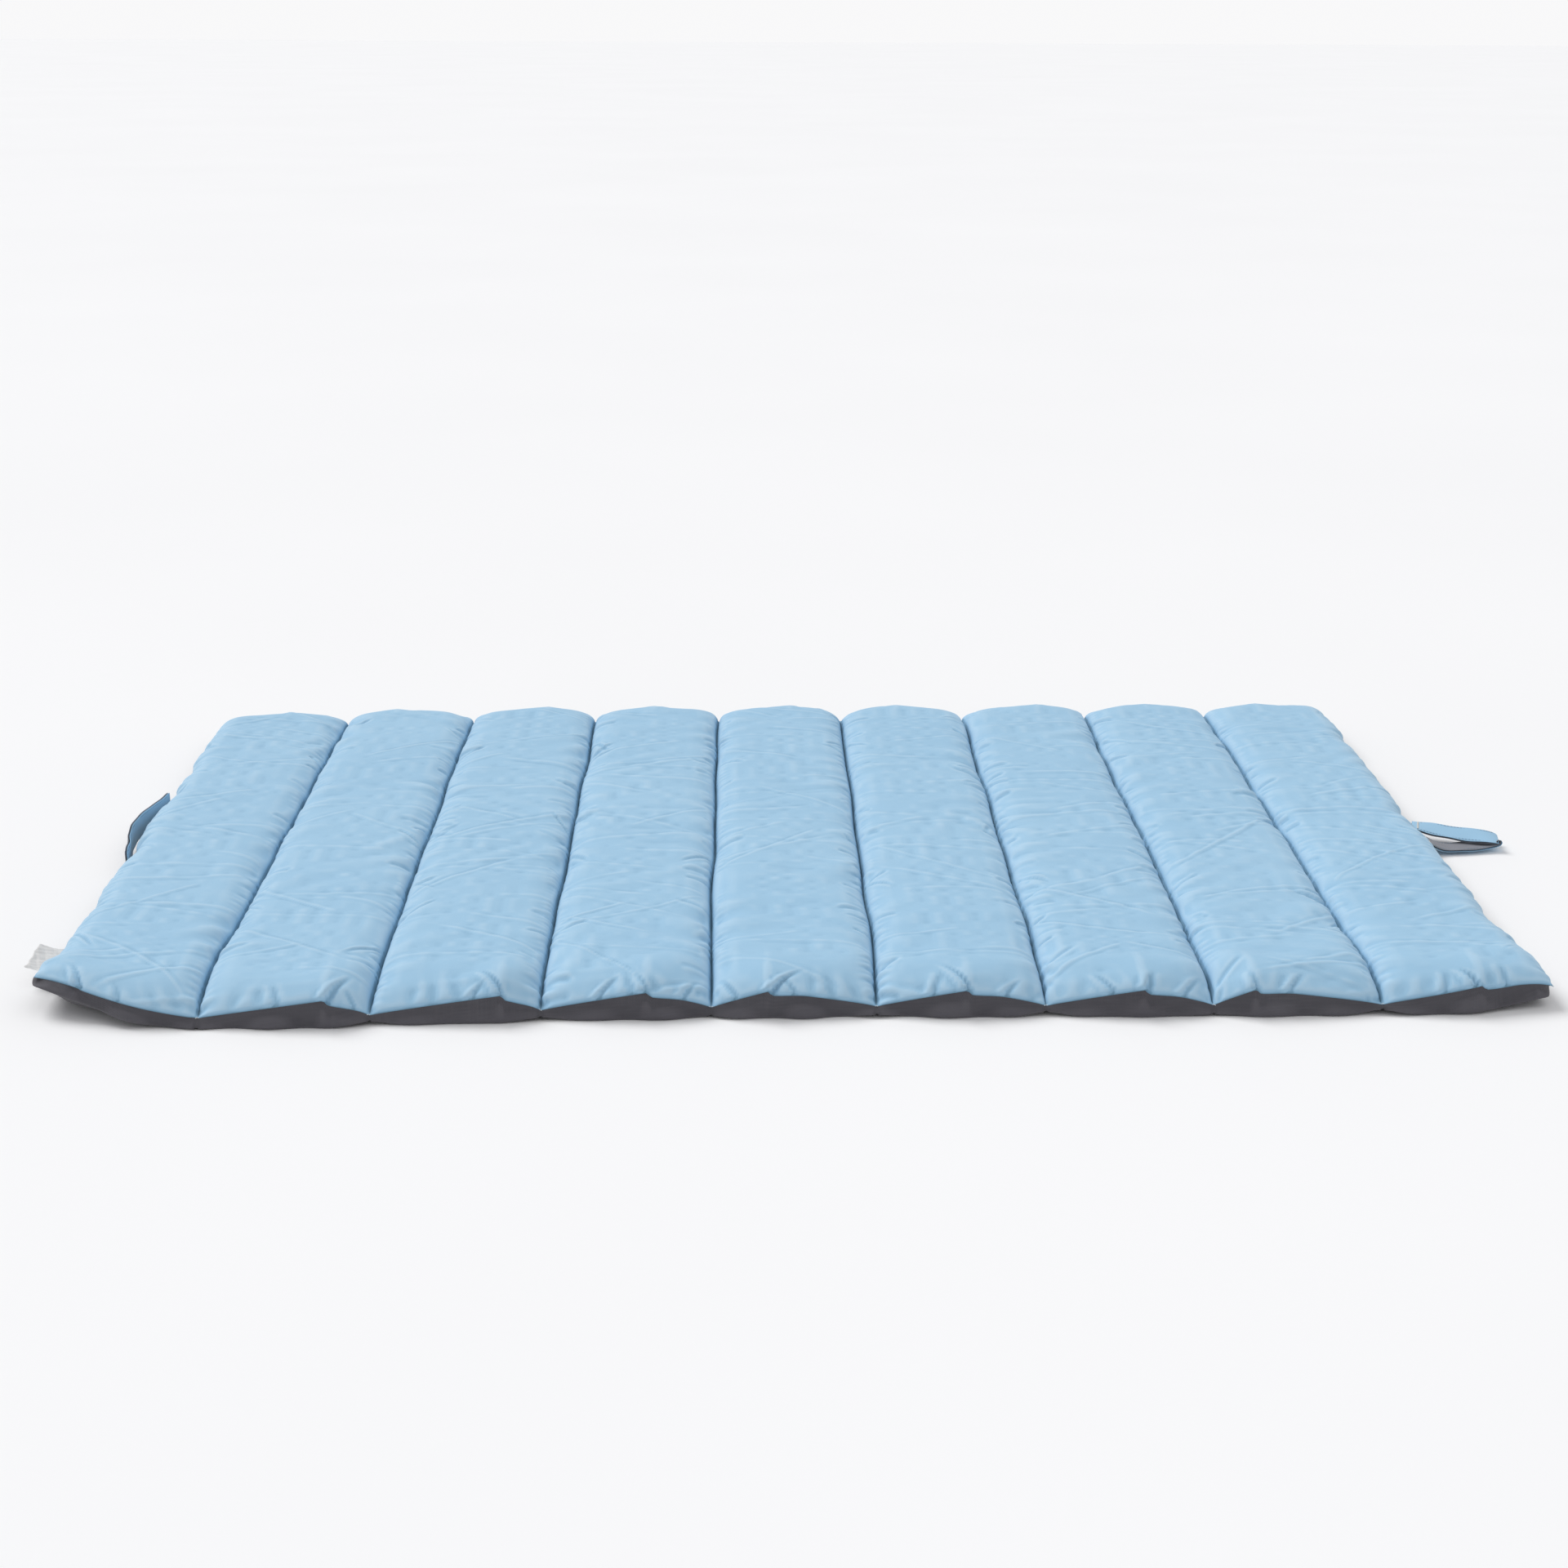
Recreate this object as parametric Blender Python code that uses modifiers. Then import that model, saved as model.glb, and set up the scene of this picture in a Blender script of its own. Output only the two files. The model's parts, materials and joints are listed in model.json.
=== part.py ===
"""Padded roll-up mat, quilted into nine channels that run front to back.

Units are metres, +Z is up and the ground is Z = 0. The origin is the centre of the underside.
X crosses the channels, Y runs along them, and -Y is the front edge.
Every sewn seam is a line of thread that the channels on either side fold about.
"""

import math

import bmesh
import bpy
from mathutils import Vector

# ---- driving dimensions
MAT_WIDTH = 1.10  # across the channels
MAT_DEPTH = 0.68  # along the channels
CHANNELS = 9
SEAM_HEIGHT = 0.013  # the sewn seams and the outer edge, above the ground
CROWN_HEIGHT = 0.0345  # the top of a filled channel, above the ground
CLOTH = 0.0008  # thickness of each cloth
GAP = 0.0003  # clearance between neighbouring pieces
SEAM_HALF_WIDTH = 0.0022  # clear width for the thread, either side of a seam's axis
THREAD_RADIUS = 0.0009
THREAD_END_INSET = 0.004  # each thread stops this far inside the outer edge

TOP_POWER = 2.3  # how full the top cloth is beside a seam
TOP_END_REACH = 0.055  # length over which a channel rises to its crown at its two ends
TRAY_POWER = 2.0  # how sharply the bottom cloth turns down to the ground
TRAY_REACH = 0.018  # width over which it does so


# Rows of points from an edge inwards; the far half mirrors them about the middle. The third row is
# where the bottom cloth reaches the ground, so that a channel rests on one flat rectangle.
ROWS_ACROSS = (0.0, 0.007, 0.018, 0.038)
ROWS_ALONG = (0.0, 0.008, 0.018, 0.050)
FILLING_CLEARANCE = 0.0020  # from the outer face of either cloth to the filling

STRAP_WIDTH = 0.020
STRAP_STEPS = 24  # rows of faces along a strap
STRAP_PLY_GAP = 0.0008  # between a strap's two cloths, which twist and turn together
STRAP_PLY_OFFSET = (CLOTH + STRAP_PLY_GAP) / 2  # from the strap's middle surface to the middle of a ply
EDGE_CLEARANCE = 0.0020  # from the outer edge to a strap or label that leaves it
STRAP_LEVEL = SEAM_HEIGHT + GAP  # height at which straps and label leave the edge

EDGE_STRAP_NEAR = -0.056  # the two places where the strap along the left edge is sewn in, in Y
EDGE_STRAP_FAR = 0.092
EDGE_STRAP_BOW = 0.0115  # how far its middle stands off its ends
EDGE_STRAP_EASE = 1.5  # how gently it leaves the edge; 1 is a plain half wave
EDGE_STRAP_SPREAD = (0.0, 0.12, 0.3, 0.5, 0.7, 0.88, 1.0)  # shares of its run that its curve is drawn through

LOOP_FAR_Y = 0.027  # where the loop on the right edge leaves the seam, and where it returns
LOOP_NEAR_Y = -0.004

LABEL_LENGTH = 0.042
LABEL_REACH = 0.018
LABEL_THICKNESS = 0.0006
LABEL_CENTRE_Y = -0.260
LABEL_CURL = 0.004  # how far its free side curls up
LABEL_RIPPLE = 0.0012  # height of the ripple along its free side

TACK_LENGTH = 0.0016  # a bar tack, along its strap
TACK_WIDTH = 0.015
TACK_HEIGHT = 0.0008
TACK_GAP = 0.0006  # from a strap to the tack on it
TACK_SHARE = 0.035  # how far along a strap its tacks lie, from either end

PITCH = MAT_WIDTH / CHANNELS
HALF_WIDTH = MAT_WIDTH / 2
HALF_DEPTH = MAT_DEPTH / 2
PLY_BASE = CLOTH + GAP / 2  # from the seam line to the outer face of either cloth

# Each cloth's colour and roughness.
FINISHES = {
    "blue_cloth": ((0.39, 0.61, 0.79), 0.65),
    "grey_cloth": ((0.075, 0.072, 0.085), 0.85),
    "wadding": ((0.86, 0.86, 0.83), 0.95),
    "thread": ((0.10, 0.24, 0.34), 0.70),
    "white_thread": ((0.85, 0.85, 0.84), 0.60),
    "label_satin": ((0.68, 0.67, 0.66), 0.40),
}


def clear_scene():
    for old in list(bpy.data.objects):
        bpy.data.objects.remove(old, do_unlink=True)


def make_collection(name):
    collection = bpy.data.collections.new(name)
    bpy.context.scene.collection.children.link(collection)
    return collection


def make_material(name, cloth):
    colour, roughness = FINISHES[cloth]
    material = bpy.data.materials.new(name)
    material.use_nodes = True
    shader = material.node_tree.nodes["Principled BSDF"]
    shader.inputs["Base Color"].default_value = (*colour, 1.0)
    shader.inputs["Roughness"].default_value = roughness
    shader.inputs["Metallic"].default_value = 0.0
    return material


def add_object(collection, name, mesh, cloth, origin=(0.0, 0.0, 0.0)):
    """Link mesh, whose points are in world space, as an object with its origin at origin."""
    for corner in mesh.vertices:
        corner.co -= Vector(origin)
    mesh.materials.append(make_material(name, cloth))
    mesh.shade_smooth()
    piece = bpy.data.objects.new(name, mesh)
    piece.location = origin
    collection.objects.link(piece)
    return piece


def add_solidify(piece, thickness, offset):
    shell = piece.modifiers.new("Thickness", "SOLIDIFY")
    shell.thickness = thickness
    shell.offset = offset


# ---- the shape of a channel
def rise(distance, reach, power):
    """0 at an edge and 1 from reach onwards, steepest at the edge."""
    share = min(max(distance / reach, 0.0), 1.0)
    return 1.0 - (1.0 - share) ** power


def mirrored_rows(length, rows):
    """Points from 0 to length: the rows from each end, with one in the middle."""
    return [*rows, length / 2, *(length - row for row in reversed(rows))]


def channel_edges(number):
    """Where a channel's cloths begin and end in X, clear of the thread on either side."""
    left = -HALF_WIDTH + (number - 1) * PITCH
    right = left + PITCH
    if number > 1:
        left += SEAM_HALF_WIDTH
    if number < CHANNELS:
        right -= SEAM_HALF_WIDTH
    return left, right


def edge_distances(x, y, number):
    """Distances from a point to the nearer side and the nearer end of its channel."""
    left, right = channel_edges(number)
    return min(x - left, right - x), HALF_DEPTH - abs(y)


def top_height(x, y, number):
    across, along = edge_distances(x, y, number)
    base = SEAM_HEIGHT + PLY_BASE
    lift = CROWN_HEIGHT - base
    half_channel = PITCH / 2 - SEAM_HALF_WIDTH
    return base + lift * rise(across, half_channel, TOP_POWER) * rise(along, TOP_END_REACH, TOP_POWER)


def tray_height(x, y, number):
    across, along = edge_distances(x, y, number)
    base = SEAM_HEIGHT - PLY_BASE
    return base * (1.0 - rise(across, TRAY_REACH, TRAY_POWER) * rise(along, TRAY_REACH, TRAY_POWER))


def channel_rows(number, skip):
    """The X and Y rows of a channel, leaving out the outermost skip rows on every side."""
    left, right = channel_edges(number)
    rows_x = [left + row for row in mirrored_rows(right - left, ROWS_ACROSS)]
    rows_y = [row - HALF_DEPTH for row in mirrored_rows(MAT_DEPTH, ROWS_ALONG)]
    last = len(rows_x) - skip
    return rows_x[skip:last], rows_y[skip:last]


def grid_on_rows(rows_x, rows_y):
    """A flat grid whose lines lie on the given rows."""
    sheet = bmesh.new()
    bmesh.ops.create_grid(sheet, x_segments=len(rows_x) - 1, y_segments=len(rows_y) - 1, size=1.0)
    for corner in sheet.verts:
        column = round((corner.co.x + 1.0) / 2.0 * (len(rows_x) - 1))
        line = round((corner.co.y + 1.0) / 2.0 * (len(rows_y) - 1))
        corner.co.x = rows_x[column]
        corner.co.y = rows_y[line]
    return sheet


def finish_mesh(shape, name):
    mesh = bpy.data.meshes.new(name)
    shape.to_mesh(mesh)
    shape.free()
    return mesh


def make_top_panel(collection, number):
    rows_x, rows_y = channel_rows(number, skip=0)
    shape = grid_on_rows(rows_x, rows_y)
    for corner in shape.verts:
        corner.co.z = top_height(corner.co.x, corner.co.y, number)
    name = f"top_panel_{number}"
    panel = add_object(collection, name, finish_mesh(shape, name), "blue_cloth")
    add_solidify(panel, CLOTH, -1.0)


def make_bottom_panel(collection, number):
    rows_x, rows_y = channel_rows(number, skip=0)
    shape = grid_on_rows(rows_x, rows_y)
    for corner in shape.verts:
        corner.co.z = tray_height(corner.co.x, corner.co.y, number)
    bmesh.ops.reverse_faces(shape, faces=shape.faces)
    name = f"bottom_panel_{number}"
    panel = add_object(collection, name, finish_mesh(shape, name), "grey_cloth")
    add_solidify(panel, CLOTH, -1.0)


def make_filling(collection, number):
    """The wadding: a closed pad between the two cloths, clear of both."""
    rows_x, rows_y = channel_rows(number, skip=1)
    shape = grid_on_rows(rows_x, rows_y)
    bmesh.ops.reverse_faces(shape, faces=shape.faces)
    lower = list(shape.verts)
    copied = bmesh.ops.extrude_face_region(shape, geom=list(shape.faces), use_keep_orig=True)
    upper = [item for item in copied["geom"] if isinstance(item, bmesh.types.BMVert)]
    for corner in upper:
        corner.co.z = top_height(corner.co.x, corner.co.y, number) - FILLING_CLEARANCE
    for corner in lower:
        corner.co.z = tray_height(corner.co.x, corner.co.y, number) + FILLING_CLEARANCE
    bmesh.ops.recalc_face_normals(shape, faces=shape.faces)
    name = f"filling_{number}"
    add_object(collection, name, finish_mesh(shape, name), "wadding")


def make_tube(collection, name, start, end, radius, cloth):
    path = bpy.data.curves.new(name, "CURVE")
    path.dimensions = "3D"
    path.bevel_depth = radius
    path.bevel_resolution = 2
    path.use_fill_caps = True
    line = path.splines.new("POLY")
    line.points.add(1)
    line.points[0].co = (*start, 1.0)
    line.points[1].co = (*end, 1.0)
    path.materials.append(make_material(name, cloth))
    tube = bpy.data.objects.new(name, path)
    collection.objects.link(tube)
    return tube


def make_channel_stitch(collection, number):
    """The thread of one channel seam, lying on the axis that the seam folds about."""
    reach = HALF_DEPTH - THREAD_END_INSET
    seam = make_tube(
        collection, f"channel_stitch_{number}", (0, -reach, 0), (0, reach, 0), THREAD_RADIUS, "thread"
    )
    seam.location = (-HALF_WIDTH + number * PITCH, 0.0, SEAM_HEIGHT)


# ---- straps
def smooth_point(points, share):
    """A point on the Catmull-Rom curve through points, at a share from 0 to 1 of its run."""
    last = len(points) - 1
    place = min(share * last, last - 1e-9)
    step = int(place)
    t = place - step
    before = points[max(step - 1, 0)]
    here = points[step]
    there = points[step + 1]
    after = points[min(step + 2, last)]
    straight = (there - before) * t
    bend = (2 * before - 5 * here + 4 * there - after) * t**2
    twist = (3 * here - before - 3 * there + after) * t**3
    return here + 0.5 * (straight + bend + twist)


def strap_frame(centres, widths, share):
    """A strap's centre at a share of its run, with its forward, width and normal directions."""
    small = 0.5 / STRAP_STEPS
    ahead = smooth_point(centres, min(share + small, 1.0))
    behind = smooth_point(centres, max(share - small, 0.0))
    forward = (ahead - behind).normalized()
    width = smooth_point(widths, share)
    width = (width - forward * width.dot(forward)).normalized()
    return smooth_point(centres, share), forward, width, forward.cross(width)


def make_ply(collection, name, centres, widths, offset, cloth, origin):
    """One cloth of a strap that follows centres, with its width along widths."""
    ply = bmesh.new()
    bmesh.ops.create_grid(ply, x_segments=STRAP_STEPS, y_segments=1, size=1.0)
    for corner in ply.verts:
        side = corner.co.y * STRAP_WIDTH / 2
        centre, forward, width, normal = strap_frame(centres, widths, (corner.co.x + 1.0) / 2.0)
        corner.co = centre + width * side + normal * offset
    strip = add_object(collection, name, finish_mesh(ply, name), cloth, origin)
    add_solidify(strip, CLOTH, 0.0)


def make_tack(collection, name, centres, widths, share, side, origin):
    """A bar tack: dense stitches across a strap, on its blue face (side 1) or grey face (side -1)."""
    centre, forward, width, normal = strap_frame(centres, widths, share)
    centre += normal * side * (STRAP_PLY_OFFSET + CLOTH / 2 + TACK_GAP + TACK_HEIGHT / 2)
    block = bmesh.new()
    bmesh.ops.create_cube(block, size=1.0)
    for corner in block.verts:
        along, across, up = corner.co
        corner.co = (
            centre + forward * along * TACK_LENGTH + width * across * TACK_WIDTH + normal * up * TACK_HEIGHT
        )
    add_object(collection, name, finish_mesh(block, name), "white_thread", origin)


def make_strap(collection, name, stations, tack_sides, origin):
    """A strap of two cloths, blue on one face and grey on the other, with a bar tack at each end."""
    centres = [Vector(centre) for centre, width in stations]
    widths = [Vector(width) for centre, width in stations]
    make_ply(collection, f"{name}_face", centres, widths, STRAP_PLY_OFFSET, "blue_cloth", origin)
    make_ply(collection, f"{name}_backing", centres, widths, -STRAP_PLY_OFFSET, "grey_cloth", origin)
    make_tack(collection, f"{name}_tack_1", centres, widths, TACK_SHARE, tack_sides[0], origin)
    make_tack(collection, f"{name}_tack_2", centres, widths, 1.0 - TACK_SHARE, tack_sides[1], origin)


def edge_strap_stations():
    """A band that stands on its edge along the mat's left side, sewn at both ends and bowed between."""
    edge = -HALF_WIDTH - EDGE_CLEARANCE
    stations = []
    for share in EDGE_STRAP_SPREAD:
        bow = EDGE_STRAP_BOW * math.sin(math.pi * share) ** EDGE_STRAP_EASE
        y = EDGE_STRAP_NEAR + share * (EDGE_STRAP_FAR - EDGE_STRAP_NEAR)
        stations.append(((edge - bow, y, STRAP_LEVEL), (0, 0, 1)))
    return stations


def loop_stations():
    """Out of the seam, round a leaning turn and back along the ground to the seam.

    Each station is a point on the middle of the strap, and the way its width points there.
    """
    edge = HALF_WIDTH + EDGE_CLEARANCE
    return [
        ((edge, LOOP_FAR_Y, STRAP_LEVEL), (0, 1, 0)),
        ((edge + 0.030, LOOP_FAR_Y, 0.0135), (0.0, 0.93, 0.37)),
        ((edge + 0.054, LOOP_FAR_Y - 0.002, 0.0130), (0.15, 0.85, 0.50)),
        ((edge + 0.066, LOOP_FAR_Y - 0.015, 0.0118), (0.45, 0.15, 0.88)),
        ((edge + 0.056, LOOP_NEAR_Y + 0.001, 0.0075), (0.30, 0.85, 0.42)),
        ((edge + 0.030, LOOP_NEAR_Y, 0.0040), (0, 0.98, 0.12)),
        ((edge + 0.012, LOOP_NEAR_Y, 0.0060), (0, 1, 0)),
        ((edge, LOOP_NEAR_Y, STRAP_LEVEL), (0, 1, 0)),
    ]


def make_label(collection):
    """A soft tag sewn into the left edge near the front corner, curling up at its free side."""
    origin = Vector((-HALF_WIDTH - EDGE_CLEARANCE, LABEL_CENTRE_Y, STRAP_LEVEL))
    tag = bmesh.new()
    bmesh.ops.create_grid(tag, x_segments=4, y_segments=6, size=0.5)
    for corner in tag.verts:
        out = corner.co.x + 0.5
        along = corner.co.y
        curl = LABEL_CURL * out**2 + LABEL_RIPPLE * out * math.sin(along * 2 * math.pi)
        corner.co = origin + Vector((-out * LABEL_REACH, along * LABEL_LENGTH, curl))
    bmesh.ops.recalc_face_normals(tag, faces=tag.faces)
    label = add_object(collection, "care_label", finish_mesh(tag, "care_label"), "label_satin", origin)
    add_solidify(label, LABEL_THICKNESS, 0.0)


def build():
    clear_scene()
    parts = make_collection("roll_up_mat")
    for number in range(1, CHANNELS + 1):
        make_top_panel(parts, number)
        make_bottom_panel(parts, number)
        make_filling(parts, number)
    for number in range(1, CHANNELS):
        make_channel_stitch(parts, number)
    strap_axis = (-HALF_WIDTH - EDGE_CLEARANCE, (EDGE_STRAP_NEAR + EDGE_STRAP_FAR) / 2, STRAP_LEVEL)
    make_strap(parts, "edge_strap", edge_strap_stations(), (-1, -1), strap_axis)
    loop_axis = (HALF_WIDTH + EDGE_CLEARANCE, (LOOP_FAR_Y + LOOP_NEAR_Y) / 2, STRAP_LEVEL)
    make_strap(parts, "hand_loop", loop_stations(), (1, -1), loop_axis)
    make_label(parts)


build()
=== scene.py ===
"""Looks of the padded roll-up mat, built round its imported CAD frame.

Units are metres, in the frame's own axes: X crosses the nine channels, Y runs along them, -Y is the
front edge, and the ground is Z = 0. Both cloths are simulated as one inflated quilt, then cut into
pieces that each cross one seam.
"""

import json
import math

import bmesh
import bpy
import numpy as np
from mathutils import Matrix, Vector


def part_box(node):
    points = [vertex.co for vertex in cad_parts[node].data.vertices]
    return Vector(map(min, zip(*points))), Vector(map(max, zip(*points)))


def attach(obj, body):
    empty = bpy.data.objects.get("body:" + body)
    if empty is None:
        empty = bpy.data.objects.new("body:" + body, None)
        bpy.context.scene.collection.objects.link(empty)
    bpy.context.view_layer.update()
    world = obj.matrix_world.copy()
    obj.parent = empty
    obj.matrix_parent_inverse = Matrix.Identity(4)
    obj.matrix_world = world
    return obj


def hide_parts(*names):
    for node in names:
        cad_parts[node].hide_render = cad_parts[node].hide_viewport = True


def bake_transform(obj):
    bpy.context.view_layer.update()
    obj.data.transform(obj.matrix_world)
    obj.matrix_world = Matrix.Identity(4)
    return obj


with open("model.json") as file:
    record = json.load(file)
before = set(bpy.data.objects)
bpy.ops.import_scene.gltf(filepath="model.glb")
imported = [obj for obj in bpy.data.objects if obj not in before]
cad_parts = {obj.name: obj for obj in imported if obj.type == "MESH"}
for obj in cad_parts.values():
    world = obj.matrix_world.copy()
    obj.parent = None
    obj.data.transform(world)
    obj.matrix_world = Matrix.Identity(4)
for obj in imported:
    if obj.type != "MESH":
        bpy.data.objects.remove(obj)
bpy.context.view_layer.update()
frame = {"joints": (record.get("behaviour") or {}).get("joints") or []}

# ---- the frame, as its joints and boxes give it
FOLDS = sorted(
    (joint for joint in frame["joints"] if joint["name"].startswith("seam_")),
    key=lambda joint: joint["pos_m"][0],
)
CHANNELS = len(FOLDS) + 1
(LEFT_X, FRONT_Y, _), (_, BACK_Y, CROWN_Z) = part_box("top_panel_1")
RIGHT_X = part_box(f"top_panel_{CHANNELS}")[1].x
SEAM_Z = FOLDS[0]["pos_m"][2]
SEAMS_X = np.array([LEFT_X, *(fold["pos_m"][0] for fold in FOLDS), RIGHT_X])
DEPTH = BACK_Y - FRONT_Y
PITCH = (RIGHT_X - LEFT_X) / CHANNELS

# ---- cloth grid and simulation
CELLS_ACROSS = 16  # cloth cells across one channel
CELLS_ALONG = 104
REFINE = 4  # each simulated cell becomes this many cells a side
COLUMNS = CELLS_ACROSS * REFINE  # shown cells across one channel
END_DENSITY = 0.3  # how much closer the rows lie at the two ends than on average
SIDE_DENSITY = 0.3  # the same for the columns beside a seam
FRAMES = 26
CLOTH = {
    "quality": 5,
    "mass": 0.02,
    "tension_stiffness": 22.0,
    "compression_stiffness": 12.0,
    "shear_stiffness": 4.0,
    "bending_stiffness": 0.8,
    "air_damping": 2.0,
    "tension_damping": 8.0,
    "compression_damping": 8.0,
    "shear_damping": 8.0,
    "uniform_pressure_force": 0.25,
}
FULLNESS = 6.0  # how square a stuffed channel is
CROWN_MARGIN = 0.004  # how much lower than the CAD's a crown is before it is blown up
WRINKLE_PLAIN = 0.0006  # starting wrinkles over a channel, and what is added beside a seam
WRINKLE_SEAM = 0.0009
WRINKLE_REACH = 0.022
RANDOM_SEED = 7

# ---- the sewn lines
SEAM_WANDER = 0.0008
SIDE_NOTCH = 0.005  # how far a gathered place draws a side in
LEFT_BULGE = 0.003  # how far the left side bows out behind its strap
RIGHT_CORNER_IN = 0.0085  # how far the front right corner is drawn in
FRONT_NOTCH = 0.0028  # depth of the notch where a pleat folds over
BACK_NOTCH = 0.0012
NOTCH_REACH = 0.012
LEFT_CORNER_RISE = 0.0195  # how far the outer edge is lifted at the front corners
RIGHT_CORNER_RISE = 0.009
CORNER_WIDTH = 0.03  # as a share of the mat
V_HEIGHT = 0.007  # the outer edge where a channel seam runs out
PEAK_HEIGHT = 0.0205  # and at the top of each channel's pleat
BACK_PEAK_HEIGHT = 0.0165
SIDE_HEIGHT = 0.015  # the outer edge along the left and right sides
EDGE_REACH = 0.055  # how far inwards a gathered end is felt
FRONT_PLEATS = (0.28, 0.74, 0.77, 0.62, 0.34, 0.53, 0.58, 0.24, 0.56)  # share of its channel
BACK_PLEATS = (0.55, 0.4, 0.62, 0.48, 0.58, 0.45, 0.6, 0.5, 0.42)
LEFT_NOTCHES = (0.225, 0.415, 0.635, 0.745)  # share of the way from front to back
RIGHT_NOTCHES = (0.17, 0.52, 0.83)
SEAM_SWELL = 0.0062  # rise of the blue cloth just beside a channel seam
PUCKER = 0.0009  # depth of the small gathers along a channel seam, and along the outer seam
RIM_PUCKER = 0.0008
PLEAT_RIDGE = 0.0026
PLEAT_GROOVE = 0.0036
LEFT_FOOT = 0.0235  # how far the grey cloth is lifted off the ground at the two front corners
RIGHT_FOOT = 0.009
RIM_SWELL = 0.0016  # bulge of the blue cloth just inside the outer edge
WALL = 0.011  # length of grey cloth that stands up at the outer edge
SEAM_TURN = 0.046  # how far the grey cloth takes to come down from a channel seam
SEAM_TURN_END = 0.0012  # the same at the outer edge, where the cloth is gathered
END_ROUND = 0.042  # length over which a channel rises to its crown at its two ends
GROUND_LIFT = 0.0003
ON_LINE = 1e-6  # nearer than this to a sewn line is on it

# ---- how the pieces look and what lies in them
FULL_CREST = 0.00022  # a point this far proud of its neighbours counts as a full ridge
PAD_INSET = 0.03  # from a seam to the wadding, so that a fold never squeezes it out
PAD_END_INSET = 0.045  # the same at a channel's two ends
PAD_CLEARANCE = 0.0055  # from the cloths to the wadding, above and below


def spaced(cells, density):
    """Shares from 0 to 1, closer together at both ends."""
    even = np.linspace(0.0, 1.0, cells + 1)
    return even - density / (2 * math.pi) * np.sin(2 * math.pi * even)


def ease(value):
    """0 up to 0, 1 from 1 on, and smooth between."""
    value = np.clip(value, 0.0, 1.0)
    return value * value * (3.0 - 2.0 * value)


def fade_out(value):
    return 1.0 - ease(value)


def bell(distance, width):
    """1 at a distance of 0, falling off smoothly either side."""
    return np.exp(-((distance / width) ** 2))


def lift_off(distance, reach):
    """0 at a distance of 0, and soon 1."""
    return 1.0 - np.exp(-distance / reach)


def seeded(offset):
    return np.random.default_rng(RANDOM_SEED + offset)


def waves(rng, places, wavelength, count):
    """Sums of a few seeded waves: smooth, between about -1 and 1."""
    total = np.zeros_like(places)
    for _ in range(count):
        length = wavelength * rng.uniform(0.6, 1.8)
        total += np.sin(2 * math.pi * places / length + rng.uniform(0, 2 * math.pi))
    return total / math.sqrt(count)


# ---- where the sewn lines run
def side_notches(along, places):
    """How far a side is drawn in: its stuffed cloth bows out between gathered places."""
    return sum(SIDE_NOTCH * bell(along - place, 0.03) for place in places)


def seam_lines(along):
    """X of both sides and every seam, row by row."""
    rng = seeded(0)
    lines = np.repeat(SEAMS_X[None, :], len(along), axis=0)
    for seam in range(CHANNELS + 1):
        lines[:, seam] += SEAM_WANDER * waves(rng, along * DEPTH, 0.22, 4)
    lines[:, 0] += side_notches(along, LEFT_NOTCHES)
    lines[:, -1] += RIGHT_CORNER_IN * bell(along, 0.11)
    lines[:, 0] -= LEFT_BULGE * bell(along - (LEFT_NOTCHES[1] + LEFT_NOTCHES[2]) / 2, 0.07)
    lines[:, -1] -= side_notches(along, RIGHT_NOTCHES)
    return lines


def edge_wave(across, pleats):
    """Height share of a gathered end, 0 at a seam and 1 where a pleat folds over, and its notch."""
    channel = np.minimum((across * CHANNELS).astype(int), CHANNELS - 1)
    local = across * CHANNELS - channel
    peak = np.array(pleats)[channel]
    height = np.minimum((local / peak) ** 0.9, ((1.0 - local) / (1.0 - peak)) ** 0.8)
    past = (local - peak) / 0.035
    return height, np.minimum(height, ease(past) * fade_out(past / 7.0))


def end_heights(across):
    """Height of the outer seam along the front and the back, and depth of its notches."""
    left = bell(across, CORNER_WIDTH)
    right = bell(across - 1.0, CORNER_WIDTH)
    first_channel = np.clip(1.0 - across * CHANNELS, 0.0, 1.0)
    calm = 1.0 - 0.75 * ease(first_channel * 20.0)
    front_wave, front_notch = edge_wave(across, FRONT_PLEATS)
    back_wave, back_notch = edge_wave(across, BACK_PLEATS)
    front = V_HEIGHT + (PEAK_HEIGHT - V_HEIGHT) * front_wave * calm
    front += LEFT_CORNER_RISE * first_channel**1.15 + RIGHT_CORNER_RISE * right
    back = V_HEIGHT + (BACK_PEAK_HEIGHT - V_HEIGHT) * back_wave + 0.003 + 0.004 * (left + right)
    return front, back, FRONT_NOTCH * front_notch * calm, BACK_NOTCH * back_notch


def end_lines(across):
    """Y of the outer seam along the front and the back."""
    front = FRONT_Y + 0.0045 - 0.0165 * bell(across - 1 / CHANNELS, 0.2)
    front += 0.025 * bell(across, 0.05) + 0.0105 * bell(across - 1.0, 0.05)
    back = BACK_Y + 0.012 * across - 0.022 * bell(across, 0.14)
    gathered_front = 0.003 * (1.0 - edge_wave(across, FRONT_PLEATS)[0])
    gathered_back = 0.003 * (1.0 - edge_wave(across, BACK_PLEATS)[0])
    return front + gathered_front - 0.002, back - gathered_back


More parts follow.
